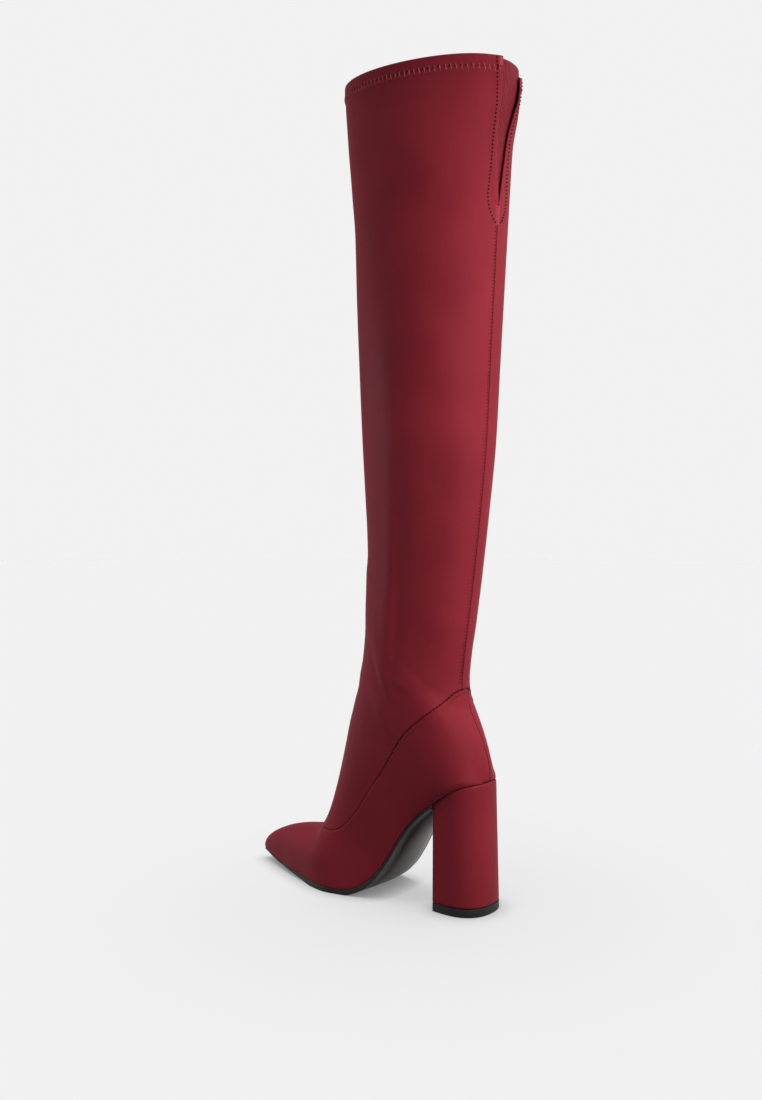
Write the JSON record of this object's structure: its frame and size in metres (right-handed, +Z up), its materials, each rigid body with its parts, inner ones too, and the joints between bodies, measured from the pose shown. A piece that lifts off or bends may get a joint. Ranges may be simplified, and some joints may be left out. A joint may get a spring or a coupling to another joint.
{
  "type": "thigh high boot",
  "caption": "Left thigh high stretch boot: pointed toe, hollow shaft with a notched back and elastic gore, high fabric-covered block heel, thin outsole.",
  "frame": {"origin": "middle of the heel's tread, on the floor", "axes": "+X to the toe, +Y to the outer (left) side of the foot, +Z up"},
  "size_m": [0.2648, 0.1106, 0.6682],
  "materials": {
    "boot_fabric": "smooth stretch crepe satin, burgundy, soft sheen",
    "gore_elastic": "fine ribbed elastic, burgundy",
    "heel_fabric": "the same fabric glued tight over the heel block",
    "outsole_rubber": "thin black synthetic outsole, satin in the waist",
    "insole_board": "black lined insole",
    "lift_rubber": "matt black top piece"
  },
  "bodies": {
    "root": {"outsole": "outsole_rubber", "insole": "insole_board", "upper": "boot_fabric", "shaft": "boot_fabric", "back_gore": "gore_elastic", "heel": "heel_fabric", "heel_lift": "lift_rubber"}
  },
  "joints": []
}
